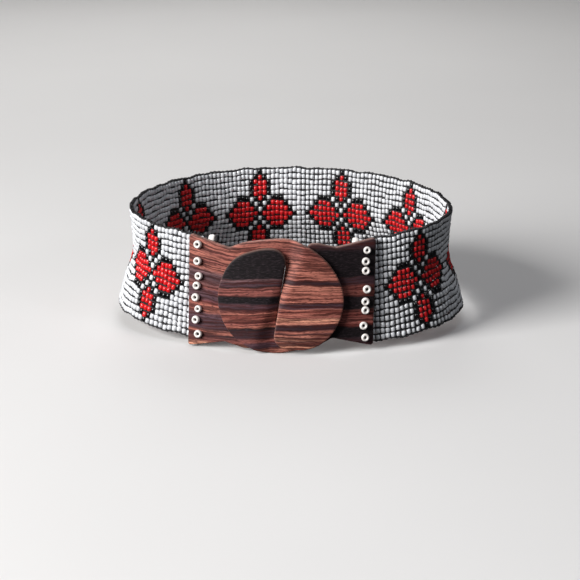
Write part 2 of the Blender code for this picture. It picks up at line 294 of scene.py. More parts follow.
def half_outline(half):
    """A half's outline, drawn with its plate on the left and its hook pointing down."""
    def corner(name, reach, height, radius):
        return (-reach * half[name][0], height * half[name][1], radius)

    def seam(height):
        return half["seam"] * SEAM_OFFSET + SEAM_SLANT * height

    near = EDGE_GAP / 2
    far = SLIT_WIDTH + EDGE_GAP / 2
    slit_end = 0.49 * (near + far)  # just under half the slit's width, so its end is round
    tip = -half["drop"] * HOOK_DROP
    corners = [
        corner("plate_below", PLATE_REACH, PLATE_HEIGHT / 2, PLATE_CORNER),
        corner("plate_above", PLATE_REACH, PLATE_HEIGHT / 2, PLATE_CORNER),
        corner("neck_above", NECK_REACH, NECK_HEIGHT / 2, NECK_ROUND),
    ]
    angle, last_angle = half["disc"][0][0], half["disc"][-1][0]
    while angle >= last_angle:
        radius = DISC_RADIUS * read_table(half["disc"], angle)
        turn = math.radians(angle)
        corners.append((radius * math.cos(turn), radius * math.sin(turn), 0))
        angle -= DISC_STEP
    corners += [
        (seam(tip) + near, tip, half["round"] * HOOK_ROUND),
        (seam(SLIT_TOP) + near, SLIT_TOP, slit_end),
        (seam(SLIT_TOP) - far, SLIT_TOP, slit_end),
        (seam(-LOBE_DROP) - far, LOBE_DROP * half["lobe"][1], SLIT_MOUTH_ROUND),
        corner("lobe", LOBE_REACH, LOBE_DROP, LOBE_ROUND),
        corner("neck_below", NECK_REACH, NECK_HEIGHT / 2, NECK_ROUND),
    ]
    return rounded(corners)


def half_level(x, height, seam):
    """How far a half's middle stands out: its plate lies behind, its hook in front."""
    past_seam = (x - seam * SEAM_OFFSET - SEAM_SLANT * height) / SLIT_WIDTH
    if past_seam <= 0:
        return PLATE_LEVEL
    down = (TWIST_HEIGHT - height) / (2 * TWIST_HEIGHT)
    share = min(max(past_seam + min(max(down, 0.0), 1.0), 0.0), 1.0)
    share = share * share * (3 - 2 * share)  # eased at both ends
    return PLATE_LEVEL + (HOOK_LEVEL - PLATE_LEVEL) * share


# %% Cut a board from its outline, and bend it
CUT_PITCH = 2.5 * MM
TWIST_CUT_PITCH = 1.5 * MM
MAP_UNIT = 0.1  # the wood's flat map counts in units of 100 mm


def cut_across(axis, places):
    """In edit mode, cut the whole board by a plane at each place along an axis."""
    normal = [0.0, 0.0, 0.0]
    normal[axis] = 1.0
    for place in places:
        bpy.ops.mesh.select_all(action="SELECT")
        bpy.ops.mesh.bisect(plane_co=[place * n for n in normal], plane_no=normal,
                            threshold=0.02 * MM)


def carve_half(half, flip):
    """A half as one board. The right one is drawn like the left and turned end for end."""
    outline = half_outline(half)
    bpy.ops.mesh.primitive_circle_add(vertices=len(outline), radius=DISC_RADIUS, fill_type="NGON")
    board = only(bpy.context.object)
    for vert, point in zip(board.data.vertices, outline):
        vert.co = (point.x, WOOD / 2, point.y)
    bpy.ops.object.mode_set(mode="EDIT")
    bpy.ops.mesh.select_all(action="SELECT")
    bpy.ops.mesh.extrude_region_move(TRANSFORM_OT_translate={"value": (0, -WOOD, 0)})
    bpy.ops.mesh.select_all(action="SELECT")
    bpy.ops.mesh.normals_make_consistent(inside=False)
    pick("edges", lambda e: any(len(f.verts) == len(outline) for f in e.link_faces))
    bpy.ops.mesh.bevel(offset=EDGE_ROUND, segments=4, profile=0.5, affect="EDGES",
                       clamp_overlap=False)
    # each face keeps how far it turns away from the board's front: 1 on the rims
    mesh = bmesh.from_edit_mesh(board.data)
    rim = mesh.faces.layers.float.new("rim")
    for face in mesh.faces:
        face[rim] = 1.0 - min(1.0, abs(face.normal.y))
    bmesh.update_edit_mesh(board.data)
    # close cuts where the board twists, wider ones over the plate, the hook and in height
    cut_across(0, [-CUT_PITCH * k for k in range(9, 26)]
               + [TWIST_CUT_PITCH * k for k in range(-13, 14)]
               + [CUT_PITCH * k for k in range(9, 17)])
    cut_across(2, [CUT_PITCH * k for k in range(-15, 16)])
    bpy.ops.mesh.select_all(action="SELECT")
    bpy.ops.mesh.quads_convert_to_tris()
    bpy.ops.object.mode_set(mode="OBJECT")
    # the flat shape is kept as a map for the grain, and then the board is bent and wrapped
    flat = board.data.uv_layers[0] if board.data.uv_layers else board.data.uv_layers.new()
    flat.name = "flat"
    corners = [vert.co.copy() for vert in board.data.vertices]
    for loop in board.data.loops:
        x, y, height = corners[loop.vertex_index]
        flat.data[loop.index].uv = (flip * x / MAP_UNIT, flip * height / MAP_UNIT)
    for vert, (x, y, height) in zip(board.data.vertices, corners):
        vert.co = wrap(flip * x, flip * height, half_level(x, height, half["seam"]) - y)
    bpy.ops.object.shade_smooth_by_angle(angle=math.radians(35))
    return board


# %% Make both halves
buckle_left = carve_half(LEFT, 1)
buckle_right = carve_half(RIGHT, -1)
belongs(buckle_left, "rosewood_half_left", "rosewood_light", "buckle_left")
belongs(buckle_right, "rosewood_half_right", "rosewood_dark", "buckle_right")

# %% [markdown]
# ## One seed bead
# A seed bead is cut from a drawn tube of glass and tumbled hot until its rims are round.
# Thousands are strung here, so the one that all are copied from has only 60 faces: a
# ten-sided cylinder with its rims beveled once, its ends inset to the hole, and the hole
# bridged through. Smooth shading does the rest.

# %% Model a seed bead
BEAD_DIAMETER = 3.2 * MM
BEAD_LENGTH = 3.4 * MM
BEAD_HOLE = 1.0 * MM
BEAD_ROUND = 0.48 * MM

bpy.ops.mesh.primitive_cylinder_add(vertices=10, radius=BEAD_DIAMETER / 2, depth=BEAD_LENGTH)
seed = only(bpy.context.object)
bpy.ops.object.mode_set(mode="EDIT")
pick("edges", lambda e: abs(e.verts[0].co.z - e.verts[1].co.z) < 0.1 * MM)
bpy.ops.mesh.bevel(offset=BEAD_ROUND, segments=1, affect="EDGES")
pick("faces", lambda f: abs(f.normal.z) > 0.99)
bpy.ops.mesh.inset(thickness=BEAD_DIAMETER / 2 - BEAD_ROUND - BEAD_HOLE / 2)
bpy.ops.mesh.bridge_edge_loops()
bpy.ops.mesh.select_all(action="SELECT")
bpy.ops.mesh.normals_make_consistent(inside=False)
bpy.ops.object.mode_set(mode="OBJECT")
seed_verts = np.array([vert.co[:] for vert in seed.data.vertices])
seed_faces = [tuple(face.vertices) for face in seed.data.polygons]
bpy.data.objects.remove(seed)
print("a seed bead has", len(seed_faces), "faces")

# %% [markdown]
# ## The pattern
# The band is woven on a loom from a chart, one square for a bead: W white, K black,
# R red. One flower is 19 beads wide and 17 rows high, and it is the same upside down, so
# the chart is written down to its middle row. It repeats all the way round.

# %% The flower's chart
UPPER_ROWS = [
    "WWWWWWWWWKWWWWWWWWW",
    "WWWWWWWWKRKWWWWWWWW",
    "WWWWWWWKRRRKWWWWWWW",
    "WWWWWWWKRRRKWWWWWWW",
    "WWWWWWWKRRRKWWWWWWW",
    "WWWWKKKWKRKWKKKWWWW",
    "WWWKRRRKWKWKRRRKWWW",
    "WWKRRRRRKWKRRRRRKWW",
    "WKRRRRRRRKRRRRRRRKW",
]
CHART = UPPER_ROWS + UPPER_ROWS[-2::-1]
FLOWER_PLACE = 96.35 * MM  # the first flower's middle, round from the buckle's middle
FLOWER_STEPS = 7  # from the first flower round the back to the last
END_COLUMNS = 12  # beyond the middles of those two, up to the plates
columns_round = FLOWER_STEPS * len(CHART[0])
COLUMN_PITCH = (GIRTH - 2 * FLOWER_PLACE) / columns_round
COLUMNS = range(-END_COLUMNS, columns_round + END_COLUMNS + 1)
print(len(COLUMNS), "columns of", ROWS, "beads, one to", round(COLUMN_PITCH / MM, 2), "mm")

# %% [markdown]
# ## Weaving the band
# Loom weaving leaves each bead standing on its own thread, with its hole up and down,
# between two lengthwise cords. No two glass beads are quite alike: each gets its own
# small share of size, lean and place, from a seeded random number. On the belt's left
# half the beads are large and press on each other; on its right half the band is
# stretched, so they are smaller and stand apart. The beads are joined into one mesh for
# each colour, the white ones into one for each half, because thousands of objects would be slow to
# handle.

# %% The rows' places, and how the weave drifts
def slot_height(slot):
    """Height above the band's middle of a slot between rows: 0 is above the first row."""
    return (ROWS / 2 - slot) * ROW_PITCH


def drift(around, height):
    """How far the weave has drifted up or down at a place: three waves, 0.8 mm at most."""
    a, h = around / MM, height / MM
    return MM * (0.32 * math.sin(a / 5.3 + h / 9) + 0.26 * math.sin(a / 3.1 - h / 4 + 1)
                 + 0.24 * math.sin(a / 2.1 + 0.4 * h))


print("the first row is", round(slot_height(0.5) / MM, 1), "mm above the middle")

# %% The beads' sizes, places and leans
# a bead's mean, spread and most, against the bead that all are copied from
LEFT_WIDTH, RIGHT_WIDTH = (1.09, 0.035, 1.12), (0.93, 0.035, 1.12)
LEFT_LENGTH, RIGHT_LENGTH = (1.04, 0.045, 1.1), (0.98, 0.045, 1.1)
STRAY = (0.07, 0.15, 0.14)  # round the belt, up and out, as spreads in mm
BEAD_LEAN = (0.06, 0.07)


def string_beads(places):
    """Join a copy of the seed bead at each place into one mesh."""
    verts = []
    faces = []
    shades = []
    for place, size, shade in places:
        turn = np.array(place.to_3x3()) * np.array(size)
        start = len(verts) * len(seed_verts)
        verts.append(seed_verts @ turn.T + np.array(place.translation))
        faces += [tuple(start + corner for corner in face) for face in seed_faces]
        shades += [shade] * len(seed_faces)
    data = bpy.data.meshes.new("beads")
    data.from_pydata(np.concatenate(verts).tolist(), [], faces)
    data.attributes.new("shade", "FLOAT", "FACE").data.foreach_set("value", shades)
    data.shade_smooth()
    item = bpy.data.objects.new("beads", data)
    bpy.context.scene.collection.objects.link(item)
    return item


def lean(across, along):
    """A small random turn across the belt and along it, by two spreads in radians."""
    first = Matrix.Rotation(chance.gauss(0, across), 4, "X")
    return first @ Matrix.Rotation(chance.gauss(0, along), 4, "Y")


# %% String the beads
chance = random.Random(17)
strings = {"white_left": [], "white_right": [], "red": [], "black": []}
for column in COLUMNS:
    around = FLOWER_PLACE + column * COLUMN_PITCH
    on_right = around < GIRTH / 2
    for row, beads in enumerate(CHART):
        height = slot_height(row + 0.5)
        near = seat(around + chance.gauss(0, STRAY[0]) * MM,
                    height + drift(around, height) + chance.gauss(0, STRAY[1]) * MM,
                    chance.gauss(0, STRAY[2]) * MM)
        place = near @ lean(*BEAD_LEAN) @ Matrix.Rotation(chance.uniform(0, math.tau), 4, "Z")
        middle, spread, most = RIGHT_WIDTH if on_right else LEFT_WIDTH
        wide = min(chance.gauss(middle, spread), most)
        middle, spread, most = RIGHT_LENGTH if on_right else LEFT_LENGTH
        size = (wide, wide, min(chance.gauss(middle, spread), most))
        colour = beads[(column + len(beads) // 2) % len(beads)]
        name = {"R": "red", "K": "black"}.get(colour)
        name = name or ("white_right" if on_right else "white_left")
        strings[name].append((place, size, chance.random()))

bead_pieces = {}
for name, places in strings.items():
    bead_pieces[name] = string_beads(places)
    belongs(bead_pieces[name], "seed_beads_" + name, "beadwork", "beaded_band")
print("beads strung:", sum(len(places) for places in strings.values()))

# %% [markdown]
# ## The loom's cords
# Between every two bead rows, and along both edges, a pair of black elastic cords runs
# the whole length of the band. They fill the slot between the rows, which is why each
# row looks drawn round with a black line. They are curves with a round bevel, turned
# into meshes, and they waver as the beads press on them.

# %% Making cords from lines
def lay_cords(lines, thickness, resolution=1):
    """Round cords along lines of world points, as one mesh."""
    curve = bpy.data.curves.new("cords", "CURVE")
    curve.dimensions = "3D"
    curve.bevel_depth = thickness / 2
    curve.bevel_resolution = resolution
    curve.use_fill_caps = True
    for line in lines:
        spline = curve.splines.new("POLY")
        spline.points.add(len(line) - 1)
        for point, co in zip(spline.points, line):
            point.co = (*co, 1.0)
    item = bpy.data.objects.new("cords", curve)
    bpy.context.scene.collection.objects.link(item)
    only(item)
    bpy.ops.object.convert(target="MESH")
    bpy.ops.object.mode_set(mode="EDIT")
    bpy.ops.mesh.select_all(action="SELECT")
    bpy.ops.mesh.remove_doubles(threshold=0.01 * MM)
    bpy.ops.mesh.normals_make_consistent(inside=False)
    bpy.ops.object.mode_set(mode="OBJECT")
    bpy.ops.object.shade_smooth()
    return item


# %% Lay the elastic cords
CORD = 0.9 * MM
CORD_LEVEL = 0.72 * MM  # from the middle of the band's wall to each cord of a pair
CORD_SWAY = (0.1 * MM, 0.06 * MM)  # up and down, in and out, from bead to bead
CORD_WAVER = 0.07  # up and down, as a spread in mm


def along_band(share):
    """Place round the belt at a share of the band's length, from its right end."""
    return first_around + (last_around - first_around) * share


first_around = FLOWER_PLACE - (END_COLUMNS + 0.5) * COLUMN_PITCH
last_around = GIRTH - first_around
lines = []
for slot in range(ROWS + 1):
    height = slot_height(slot)
    for side in (-1, 1):
        line = []
        for step in range(2 * len(COLUMNS) + 1):
            around = along_band(step / (2 * len(COLUMNS)))
            sway = 1 if step % 2 else -1
            waver = chance.gauss(0, CORD_WAVER) * MM + sway * CORD_SWAY[0]
            level = side * (CORD_LEVEL + sway * CORD_SWAY[1])
            line.append(wrap(around, height + drift(around, height) + waver, level))
        lines.append(line)
elastic = lay_cords(lines, CORD)
belongs(elastic, "loom_cords", "beadwork", "beaded_band")

# %% [markdown]
# ## The threads between the columns
# Each column of beads hangs on its own weft thread. The thread goes down between two
# columns and comes back up through the beads, so a black line shows wherever two beads
# don't meet. Only the stretch between the columns can be seen, so only that is laid.

# %% Lay the weft threads
WEFT = 0.8 * MM

lines = []
for column in range(len(COLUMNS) + 1):
    around = first_around + column * COLUMN_PITCH
    heights = [slot_height(slot) for slot in range(ROWS + 1)]
    lines.append([wrap(around, height + drift(around, height), 0.0) for height in heights])
wefts = lay_cords(lines, WEFT)
belongs(wefts, "weft_threads", "beadwork", "beaded_band")

# %% [markdown]
# ## The edges
# At the band's two edges the thread that carries the beads turns back round the outer
# cords, once for every column. It makes a thick, lumpy black line: a coil with one turn
# to a column, wound round the edge cords.

# %% Wind the edge thread
EDGE_THREAD = 0.95 * MM
COIL_HEIGHT = 0.4 * MM
COIL_DEPTH = 1.15 * MM
COIL_STEPS = 8
EDGE_LIFT = 0.1 * MM  # of the coil's middle past the outer cords
EDGE_WAVER = 0.06  # up and down, as a spread in mm

lines = []
for side in (-1, 1):
    height = side * (slot_height(0) + EDGE_LIFT)
    line = []
    for step in range(COIL_STEPS * len(COLUMNS) + 1):
        around = along_band(step / (COIL_STEPS * len(COLUMNS)))
        angle = math.tau * step / COIL_STEPS
        waver = drift(around, height) + chance.gauss(0, EDGE_WAVER) * MM
        lift = side * COIL_HEIGHT * math.cos(angle) + waver
        line.append(wrap(around, height + lift, COIL_DEPTH * math.sin(angle)))
    lines.append(line)
edging = lay_cords(lines, EDGE_THREAD)
belongs(edging, "edge_threads", "beadwork", "beaded_band")

# %% [markdown]
# ## The drilled beads
# A column of larger white beads, sewn flat against each plate, hides the knots that tie
# the band on. One bead is modelled: a small ring drawn as the section through its wall,
# spun round the hole, and smoothed by a Subdivision Surface modifier. Each of the others
# is a copy with its own mesh, its own size and its own place.

# %% Model a drilled bead
STUD_DIAMETER = 5.6 * MM
STUD_DEPTH = 3.2 * MM
STUD_HOLE = 1.5 * MM
RING_SIDES = 8
SPIN_STEPS = 14


def drilled_bead(diameter, depth):
    """A bead with a hole along Z: its section is a ring, spun round the hole."""
    wall = (diameter - STUD_HOLE) / 2
    bpy.ops.mesh.primitive_circle_add(vertices=RING_SIDES, radius=wall / 2)
    bead = only(bpy.context.object)
    bpy.ops.object.mode_set(mode="EDIT")
    bpy.ops.mesh.select_all(action="SELECT")
    bpy.ops.transform.rotate(value=math.pi / 2, orient_axis="X", center_override=(0, 0, 0))
    bpy.ops.transform.rotate(value=math.pi / RING_SIDES, orient_axis="Y",
                             center_override=(0, 0, 0))
    bpy.ops.transform.resize(value=(1.0, 1.0, depth / wall), center_override=(0, 0, 0))
    bpy.ops.transform.translate(value=((diameter + STUD_HOLE) / 4, 0, 0))
    bpy.ops.mesh.spin(steps=SPIN_STEPS, angle=math.tau, center=(0, 0, 0), axis=(0, 0, 1))
    bpy.ops.mesh.select_all(action="SELECT")
    bpy.ops.mesh.remove_doubles(threshold=0.02 * MM)
    bpy.ops.mesh.normals_make_consistent(inside=False)
    bpy.ops.object.mode_set(mode="OBJECT")
    smooth = bead.modifiers.new("smooth", "SUBSURF")
    smooth.levels = 2
    smooth.render_levels = 2
    bpy.ops.object.modifier_apply(modifier="smooth")
    low = [min(v.co[k] for v in bead.data.vertices) for k in range(3)]
    high = [max(v.co[k] for v in bead.data.vertices) for k in range(3)]
    # smoothing shrinks a shape, so the bead is brought back to its size
    wanted = (diameter, diameter, depth)
    bead.scale = [side / (high[k] - low[k]) for k, side in enumerate(wanted)]
    apply_place(bead)
    bpy.ops.object.shade_smooth()
    return bead


# %% Sew the drilled beads on
STUD_INSET = 6.5 * MM
STUD_LIFT = 0.05 * MM
STUD_LEAN = (0.05, 0.05)
# each bead, from the top: its height as a share of half the plate's, its place in from
# the plate's end as a share of STUD_INSET, and its size as a share of the pattern's
LEFT_STUDS = [
    (0.81, 0.85, 1.00), (0.51, 0.91, 1.00), (0.243, 1.11, 0.97), (0.068, 0.95, 0.98),
    (-0.146, 0.88, 1.00), (-0.351, 1.20, 0.88), (-0.551, 1.02, 1.00), (-0.805, 1.32, 0.98),
]
RIGHT_STUDS = [
    (0.773, 1.02, 0.90), (0.576, 1.18, 0.98), (0.408, 1.20, 0.98), (0.076, 1.14, 1.00),
    (-0.143, 1.32, 0.98), (-0.30, 1.35, 0.98), (-0.576, 1.57, 0.98), (-0.792, 1.43, 0.95),
]

pattern = drilled_bead(STUD_DIAMETER, STUD_DEPTH)
white_pieces = []
knot_places = []
for side_name, side, rows in (("left", -1, LEFT_STUDS), ("right", 1, RIGHT_STUDS)):
    for number, (height, inset, size) in enumerate(rows, start=1):
        only(pattern)
        bpy.ops.object.duplicate(linked=False)
        stud = bpy.context.object
        around = side * (PLATE_REACH - STUD_INSET * inset)
        height *= PLATE_HEIGHT / 2
        out = PLATE_FACE + STUD_LIFT + STUD_DEPTH * size / 2
        stud.matrix_world = (seat(around, height, out) @ Matrix.Rotation(math.pi / 2, 4, "X")
                             @ lean(*STUD_LEAN) @ Matrix.Scale(size, 4))
        apply_place(stud)
        own = f"{side_name}_{number}"
        belongs(stud, "drilled_bead_" + own, "white_bead", "stud_" + own)
        white_pieces.append(stud)
        knot_places.append((around, height, out))
bpy.data.objects.remove(pattern)

# %% [markdown]
# Two more beads show half above the plates' top edges, one behind each plate. They are
# longer and lie on their sides, with their holes along the belt.

# %% Place the two edge beads
EDGE_BEAD_DIAMETER = 5.6 * MM
EDGE_BEAD_DEPTH = 4.2 * MM
EDGE_BEAD_REACH = 50 * MM
EDGE_BEAD_HEIGHT = 32.3 * MM
edge_bead_out = PLATE_LEVEL - WOOD / 2 - FACE_GAP - EDGE_BEAD_DIAMETER / 2

for side_name, side in (("left", -1), ("right", 1)):
    bead = drilled_bead(EDGE_BEAD_DIAMETER, EDGE_BEAD_DEPTH)
    bead.matrix_world = (seat(side * EDGE_BEAD_REACH, EDGE_BEAD_HEIGHT, edge_bead_out)
                         @ Matrix.Rotation(math.pi / 2, 4, "Y"))
    apply_place(bead)
    belongs(bead, f"edge_bead_white_{side_name}", "white_bead", f"edge_bead_{side_name}")
    white_pieces.append(bead)

# %% [markdown]
# ## Knots and thread ends
# The threads that hold the drilled beads end in knots down their holes. A knot this small
# is a few turns of thread pulled tight, so it is wound as a ball: a line that circles
# while its circle turns.

# %% Wind the knots in the holes
KNOT_STEPS = 12
KNOT_TILT = 1.9  # how fast the circle turns, against how fast the line goes round
KNOT_THREAD = 0.5 * MM
HOLE_KNOT_SIZE = 0.42 * MM
HOLE_KNOT_DEPTH = 0.2 * MM


def knot_line(centre, size, turns=5):
    """Points of a small ball of thread round a centre."""
    line = []
    for step in range(KNOT_STEPS * turns + 1):
        angle = math.tau * step / KNOT_STEPS
        tilt = KNOT_TILT * angle / turns
        spoke = Vector((math.cos(angle), math.sin(angle) * math.cos(tilt),
                        math.sin(angle) * math.sin(tilt)))
        line.append(centre + spoke * size)
    return line


lines = [knot_line(wrap(around, height, out - HOLE_KNOT_DEPTH), HOLE_KNOT_SIZE, 3)
         for around, height, out in knot_places]
hole_knots = lay_cords(lines, KNOT_THREAD)
belongs(hole_knots, "hole_knots", "beadwork")

# %% [markdown]
# Where the band is tied on, a few threads come up behind the plates. On the left, one
# runs down from two knots to the edge bead and winds round it three times. On the
# right, two cut ends stand up. Each is a line of points, counted from the edge cords.

# %% Lay the thread ends, as (round the belt, above the edge cords, out), in mm
END_THREAD = 0.55 * MM
EDGE_KNOT_SIZE = 0.75 * MM
EDGE_CORDS_HEIGHT = 35.6 * MM
EDGE_KNOTS = [(-61.4, 0.7, 2.6), (-58.8, 0.5, 2.4)]
THREADS = [
    [(-61.4, 0.4, 2.6), (-60.1, -0.2, 2.2), (-58.8, 0.2, 2.4), (-56.5, -0.6, 1.2),
     (-54.0, -1.6, 0.8), (-52.4, -2.4, 0.2)],
    [(56.2, -1.2, 1.0), (56.6, 0.6, 1.6), (57.0, 2.2, 1.7)],
    [(57.4, -1.2, 1.0), (57.9, 0.8, 1.4), (58.2, 1.6, 1.3)],
]
WINDING_PLACE = -46.9 * MM
WINDING_PITCH = 0.45 * MM
WINDING_RADIUS = 2.25 * MM
WINDING_GROWTH = 0.06 * MM
WINDING_STEPS = 16


def edge_point(around, above, out):
    """Place on the waist of a point given in mm from the band's upper edge cords."""
    return wrap(around * MM, EDGE_CORDS_HEIGHT + above * MM, out * MM)


lines = [knot_line(edge_point(*place), EDGE_KNOT_SIZE) for place in EDGE_KNOTS]
lines += [[edge_point(*place) for place in thread] for thread in THREADS]
for turn in range(3):
    along = WINDING_PLACE + WINDING_PITCH * turn
    radius = WINDING_RADIUS + WINDING_GROWTH * turn
    loop = []
    for step in range(WINDING_STEPS + 1):
        angle = math.tau * step / WINDING_STEPS
        loop.append(wrap(along, EDGE_BEAD_HEIGHT + radius * math.sin(angle),
                         edge_bead_out + radius * math.cos(angle)))
    lines.append(loop)
ends = lay_cords(lines, END_THREAD, 2)
belongs(ends, "thread_ends", "beadwork")

# %% [markdown]
# ## Materials
# Every colour is written as the hex value that a colour picker shows, and one function
# turns it into the linear light that a shader works in. One more function adds a node,
# with its settings and its links, so each finish reads from top to bottom. The steps that
# come back often, a sum, a change of range and a mix of colours, have short names too.

# %% Colours and nodes
def hex_colour(code):
    """An sRGB hex colour as the linear RGBA that shaders use."""
    channels = [int(code[k:k + 2], 16) / 255 for k in (1, 3, 5)]
    return (*[c / 12.92 if c <= 0.04045 else ((c + 0.055) / 1.055) ** 2.4 for c in channels], 1.0)


def node(tree, kind, inputs=None, **settings):
    """Add a shader node, set it, and give its inputs a value or a link."""
    made = tree.nodes.new("ShaderNode" + kind)
    for name, value in settings.items():
        setattr(made, name, value)
    for name, value in (inputs or {}).items():
        if isinstance(value, bpy.types.NodeSocket):
            tree.links.new(value, made.inputs[name])
        else:
            made.inputs[name].default_value = value
    return made


def reckon(tree, operation, *values):
    """Do a sum on numbers or sockets, and give the result's socket."""
    return node(tree, "Math", dict(enumerate(values)), operation=operation).outputs[0]


def remap(tree, value, *ends):
    """Carry a number from its range to another, by the low and high end of each."""
    return node(tree, "MapRange", dict(enumerate((value, *ends)))).outputs[0]


def blend(tree, share, one, other, **settings):
    """Mix two colours by a share, and give the mixed colour's socket."""
    made = node(tree, "Mix", {0: share, 6: one, 7: other}, data_type="RGBA", **settings)
    return made.outputs[2]


def start_material(name):
    """A new material: itself, its node tree and its shader."""
    material = bpy.data.materials.new(name)
    material.use_nodes = True
    print("material:", name)
    return material, material.node_tree, material.node_tree.nodes["Principled BSDF"]


def dress(item, material):
    """Give a piece one material."""
    item.data.materials.clear()
    item.data.materials.append(material)


# %% [markdown]
# ### Rosewood
# Rosewood is reddish brown with near-black bands, because each year's late wood is
# filled with dark resin. A board shows them as long streaks along its grain, with fine
# lines and short open pores between. The belt's boards are sanded smooth and waxed.
#
# The bands are a colour ramp read by height, one for the plate and one for the hook.
# Before it is read, the height is pushed up and down a little by noises that are
# stretched along the grain, so that the bands run wavy and fray into lines. Dark lines,
# fine lines and pores are three more stretched noises.
#
# Every noise reads the board's flat map, which counts in units of 100 mm, so the grain
# stays where it was before the board was bent. A noise's scale is then 100 mm divided by
# the size of its spots along and across the grain.

# %% The bands of each board, as (height in mm, colour), from the bottom up
SHEEN_TAN = "#D8967C"
PALE = "#BC7866"
LIGHT = "#AC695A"
MID = "#8A5048"
RED_LINE = "#66302B"
MAUVE = "#6E5052"
PURPLE = "#553C43"
DARK = "#38252A"
DARK_RED = "#442A2A"
BLACK = "#151012"

LEFT_HOOK_BANDS = [
    (-40, LIGHT), (-36.4, PALE), (-35.0, RED_LINE), (-33.7, SHEEN_TAN), (-32.6, DARK),
    (-31.3, PALE), (-30.2, DARK), (-28.9, SHEEN_TAN), (-27.6, DARK), (-26.4, PALE),
    (-25.2, DARK), (-23.9, LIGHT), (-22.6, DARK), (-19.8, DARK), (-18.6, PALE),
    (-15.6, SHEEN_TAN), (-14.2, MID), (-12, LIGHT), (-10.4, RED_LINE), (-8.8, LIGHT),
    (-7.6, PURPLE), (-4.8, DARK), (-3.6, LIGHT), (1.5, LIGHT), (6.6, PALE), (7.8, DARK),
    (10.2, DARK), (11.6, LIGHT), (15, LIGHT), (22, LIGHT), (28, MID), (38, LIGHT),
]
LEFT_PLATE_BANDS = [
    (-40, SHEEN_TAN), (-36.2, SHEEN_TAN), (-34.8, MID), (-30.5, DARK), (-28.8, LIGHT),
    (-26.4, DARK), (-24.4, PURPLE), (-22, DARK), (-20, PURPLE), (-17, PURPLE),
    (-15.5, LIGHT), (-12.5, LIGHT), (-10.2, RED_LINE), (-8.6, PURPLE), (-3, PURPLE),
    (-1, MID), (3, MAUVE), (7, DARK), (10, MAUVE), (12.4, LIGHT), (17, MID), (20, LIGHT),
    (25, MID), (28, LIGHT), (38, MID),
]
RIGHT_HOOK_BANDS = [
    (-40, LIGHT), (-36.5, PALE), (-35.2, DARK), (-32.5, PURPLE), (-31, MID), (-28.4, DARK),
    (-23.6, DARK), (-22.2, BLACK), (-20.8, LIGHT), (-18.8, MID), (-17.6, RED_LINE),
    (-16.4, LIGHT), (-14.2, RED_LINE), (-12, LIGHT), (-10.4, MID), (-8.8, DARK),
    (-5.8, PURPLE), (-4.6, BLACK), (-0.6, BLACK), (0.8, MID), (5.2, MID), (6.4, BLACK),
    (7.6, PURPLE), (8.8, DARK), (10.6, MAUVE), (11.8, BLACK), (40, BLACK),
]
RIGHT_PLATE_BANDS = [
    (-40, DARK), (-30, DARK), (-28.5, BLACK), (-22.5, BLACK), (-21, RED_LINE), (-19.4, MID),
    (-16, MID), (-14, RED_LINE), (-11.6, MID), (-10, BLACK), (-1.6, BLACK), (-0.4, MID),
    (4.6, MID), (6.2, DARK), (10.4, DARK), (11.6, BLACK), (28, BLACK), (31, DARK),
    (33, DARK_RED), (36, DARK), (40, BLACK),
]


# %% Bands and streaks as nodes
RAMP_REACH = 40  # mm


def fill_ramp(tree, share, bands):
    """A colour ramp from -40 to 40 mm with a board's bands on it."""
    ramp = node(tree, "ValToRGB", {"Fac": share})
    elements = ramp.color_ramp.elements
    while len(elements) < len(bands):
        elements.new(1.0)
    for element, (height, colour) in zip(elements, bands):
        element.position = (height + RAMP_REACH) / (2 * RAMP_REACH)
        element.color = hex_colour(colour)
    return ramp.outputs[0]


def streaks(tree, vector, scale, detail, roughness=0.5):
    """Noise stretched along the grain, by its scale along and across it."""
    at = node(tree, "Mapping", {"Vector": vector, "Scale": (*scale, 1.0)})
    return node(tree, "TexNoise", {"Vector": at.outputs[0], "Scale": 1.0, "Detail": detail,
                                   "Roughness": roughness}).outputs[0]


